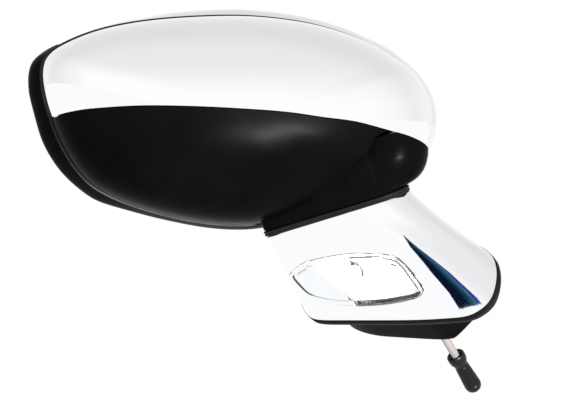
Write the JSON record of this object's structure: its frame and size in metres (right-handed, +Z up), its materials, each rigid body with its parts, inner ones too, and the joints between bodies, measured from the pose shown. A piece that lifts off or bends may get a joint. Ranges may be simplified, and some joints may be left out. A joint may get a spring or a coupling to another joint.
{
  "type": "car side mirror",
  "caption": "Door mirror with a folding oval head in chrome and black, a chrome foot with a side lamp, and an inside stick that aims the glass.",
  "frame": {"origin": "on the door face of the foot's gasket, on its lower land, midway along the foot", "axes": "+X points into the car (inboard), +Y to the rear of the car, +Z up; the door face leans in 35 degrees at the top, so its outward normal is (0.819, 0, -0.574)"},
  "size_m": [0.2315, 0.2375, 0.2364],
  "materials": {
    "chrome": "bright chrome plating on plastic",
    "black": "black moulded plastic, fine grain",
    "frame": "glass-filled black plastic",
    "mirror": "silvered glass, convex in use, modelled flat",
    "steel": "zinc-plated steel",
    "rubber": "black rubber",
    "clear": "clear polycarbonate",
    "reflector": "metallised plastic",
    "bulb": "amber-coated bulb glass",
    "alloy": "die-cast alloy",
    "cable": "black cable sheath",
    "grey": "grey coated rod"
  },
  "bodies": {
    "foot": {"foot_cover": "chrome", "joint_seal": "rubber", "base_frame": "alloy", "door_gasket": "rubber", "base_box": "black", "sheath_bridge": "frame", "pivot_tube": "steel", "fold_washer": "frame", "spring_seat": "steel", "sheath_foot_1": "cable", "sheath_foot_2": "cable", "sheath_foot_3": "cable", "lamp_lens": "clear", "lamp_reflector": "reflector", "lamp_bulb": "bulb", "bulb_socket": "frame", "lamp_lead": "cable", "lamp_connector": "frame", "mount_nut_1": "steel", "mount_nut_2": "steel", "mount_nut_3": "steel"},
    "head": {"head_cap": "chrome", "lower_housing": "black", "rim_trim_upper": "chrome", "rim_trim_lower": "black", "head_frame": "frame", "fold_spring": "steel", "sheath_head_1": "cable", "sheath_head_2": "cable", "sheath_head_3": "cable", "head_screw_1": "steel", "head_screw_2": "steel", "head_screw_3": "steel", "head_screw_4": "steel"},
    "glass_gimbal": {"glass_cross": "steel"},
    "glass": {"mirror_glass": "mirror", "glass_holder": "frame", "glass_pull_wire_1": "steel", "glass_pull_wire_2": "steel", "glass_pull_wire_3": "steel"},
    "lever_gimbal": {"lever_cross": "steel"},
    "lever": {"lever_hub": "frame", "lever_rod": "grey", "lever_knob": "rubber", "lever_pull_wire_1": "steel", "lever_pull_wire_2": "steel", "lever_pull_wire_3": "steel"}
  },
  "joints": [
    {"name": "head_fold", "type": "hinge", "parent": "foot", "child": "head", "pos_m": [-0.00907, -0.003, 0.07666], "axis": [0.2868, -0.1667, -0.9434], "range_deg": [-12, 65]},
    {"name": "glass_pan", "type": "hinge", "parent": "head", "child": "glass_gimbal", "pos_m": [-0.05441, 0.06938, 0.12266], "axis": [0, 0, 1], "range_deg": [-6, 6]},
    {"name": "glass_tilt", "type": "hinge", "parent": "glass_gimbal", "child": "glass", "pos_m": [-0.05441, 0.06938, 0.12266], "axis": [0.8192, -0.5736, 0], "range_deg": [-6, 6]},
    {"name": "lever_pitch", "type": "hinge", "parent": "foot", "child": "lever_gimbal", "pos_m": [0.02369, -0.013, 0.0049], "axis": [0, 1, 0], "range_deg": [-12, 12]},
    {"name": "lever_yaw", "type": "hinge", "parent": "lever_gimbal", "child": "lever", "pos_m": [0.02369, -0.013, 0.0049], "axis": [0.7547, 0, 0.6561], "range_deg": [-12, 12]}
  ],
  "couplings": [
    {"joint": "lever_pitch", "follows": "glass_tilt", "ratio": -2},
    {"joint": "lever_yaw", "follows": "glass_pan", "ratio": 2}
  ]
}
